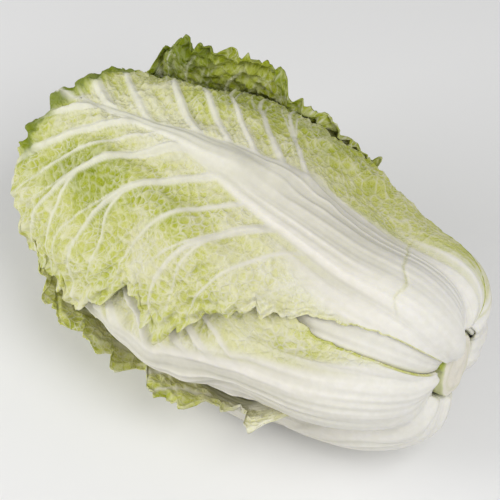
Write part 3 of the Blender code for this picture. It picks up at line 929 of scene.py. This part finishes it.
def add_floor():
    mesh = bpy.data.meshes.new("floor")
    corners = [(x * FLOOR_REACH, y * FLOOR_REACH, 0) for x, y in ((-1, -1), (1, -1), (1, 1), (-1, 1))]
    mesh.from_pydata(corners, [], [(0, 1, 2, 3)])
    n = Nodes("floor")
    n.shade({"Base Color": (FLOOR_WHITE, FLOOR_WHITE, FLOOR_WHITE, 1), "Roughness": 0.9})
    mesh.materials.append(n.material)
    floor = link("floor", mesh)


def add_light(name, place, size, power):
    light = bpy.data.lights.new(name, "AREA")
    light.size = size
    light.energy = power
    aim(link(name, light), place, LIGHTS_AIM - Vector(place))


def add_camera():
    camera = bpy.data.cameras.new("camera")
    camera.sensor_width = SENSOR_WIDTH
    camera.lens = SENSOR_WIDTH * CAMERA_DISTANCE / CAMERA_SPAN
    flat = math.cos(CAMERA_HEIGHT)
    x, y = math.sin(CAMERA_AZIMUTH) * flat, -math.cos(CAMERA_AZIMUTH) * flat
    back = Vector((x, y, math.sin(CAMERA_HEIGHT)))
    made = link("camera", camera)
    aim(made, CAMERA_TARGET + back * CAMERA_DISTANCE, -back)
    bpy.context.scene.camera = made


def add_world():
    world = bpy.data.worlds.new("world")
    bpy.context.scene.world = world
    world.use_nodes = True
    background = world.node_tree.nodes["Background"]
    background.inputs["Color"].default_value = (1, 1, 1, 1)
    background.inputs["Strength"].default_value = WORLD_STRENGTH


def all_leaves():
    """The leaves, from the inside out."""
    young = [(0, 44), (0.2, 42), (0.45, 58), (0.75, 80), (1, 84)]
    inner = [(0, 40), (0.3, 44), (0.6, 62), (1, 70)]
    hidden = {"left": young, "right": young, "ruffle": 0.001, "gap": 0.0024}
    return [
        Leaf("leaf_young_upper", 20, 0.95, rib=0.003, rows=22, seed=100, **hidden),
        Leaf("leaf_young_lower", 157, 0.95, rib=0.003, rows=22, seed=200, **hidden),
        Leaf("leaf_far_inner", -100, 0.95, rib=0.005, seed=300, **hidden),
        Leaf(
            "leaf_near_inner", 41, 0.95, inner, inner,
            rib=0.0075, rib_width=0.036, ruffle=0.0012,
            fine=(180, 120), seed=400, gap=0.0018, green=-0.3,
        ),
        Leaf("leaf_under", 195, 0.95, rib=0.004, seed=500, **hidden),
        Leaf(
            "leaf_near", 92, 0.95,
            left=[(0, 42), (0.3, 44), (0.6, 62), (1, 70)],
            right=[(0, 38), (0.3, 46), (0.5, 57), (0.75, 74), (1, 82)],
            rib=0.0140, rib_width=0.034, lean=12, ruffle=0.0018, rows=26, columns=14,
            fine=(260, 180), under=2, seed=600, gap=0.0012,
            green=-0.15, edge=0.0, white=0.62, lateral=0.0165,
        ),
        Leaf(
            "leaf_far_upper", -55, 0.95,
            left=[(0, 38), (0.3, 44), (0.6, 60), (1, 70)],
            right=[(0, 38), (0.3, 44), (0.6, 62), (1, 70)],
            rib=0.0090, ruffle=0.0015, rows=22,
            fine=(180, 120), seed=700, gap=0.0012,
        ),
        Leaf(
            "leaf_top", 4, 0.87,
            left=[(0, 33), (0.3, 41), (0.45, 56), (0.58, 74), (0.64, 64), (0.72, 82), (1, 88)],
            right=[(0, 56), (0.16, 58), (0.35, 62), (0.6, 68), (0.8, 76), (1, 76)],
            rib=0.0085, shoulder=0.020, tip_lean=0.022, flare=0.002, rows=28, columns=16,
            fine=(310, 240), under=2, seed=800,
            edge=1.0, pale_side=1.0, crack=True, crumple=0.0022, fold=0.0026,
        ),
        Leaf(
            "leaf_table", 142, 0.88,
            left=[(0, 44), (0.3, 46), (0.6, 60), (1, 66)],
            right=[
                (0, 42), (0.06, 34), (0.12, 22), (0.18, 26), (0.25, 42), (0.33, 45), (0.38, 23),
                (0.44, 20), (0.50, 31), (0.58, 33), (0.64, 27), (0.72, 36), (0.82, 44), (1, 40),
            ],
            rib=0.0135, rib_width=0.034, rows=26, columns=14,
            peel={-1: Peel(start=0.12, full=0.32, release=0.06, curl=13.0, waves=-1)},
            fine=(230, 160), seed=900,
            green=-0.45, edge=0.0, white=0.8, blister=0.0026,
        ),
        Leaf(
            "leaf_far", -125, 0.89,
            left=[
                (0, 82), (0.12, 74), (0.3, 57), (0.45, 60), (0.6, 80),
                (0.7, 88), (0.8, 92), (0.92, 93), (1, 82),
            ],
            right=[(0, 44), (0.3, 56), (0.6, 66), (1, 70)],
            rib=0.0070, rib_width=0.030, rows=28, columns=16,
            peel={1: Peel(start=0.28, full=0.52, release=0.6, curl=9.0)},
            fine=(230, 180), seed=1000,
            green=0.10, edge=0.0, blister=0.0028, crumple=0.0045, fold=0.0015,
        ),
    ]


def main():
    bpy.context.scene.view_settings.view_transform = "Standard"
    add_floor()
    add_world()
    add_camera()
    add_light("key", (0.65, -0.15, 0.95), 0.6, 5.9)
    add_light("fill", (-0.9, -0.9, 0.65), 0.9, 11.0)
    green = leaf_material("leaf")
    laid = np.zeros((LAY_ROWS, LAY_TURNS))
    for leaf in all_leaves():
        fine_leaf(leaf, laid, green)
        laid = lay(leaf, laid)
    fine_stem(stem_material())
    fine_heart(leaf_material("heart_leaf"))


main()
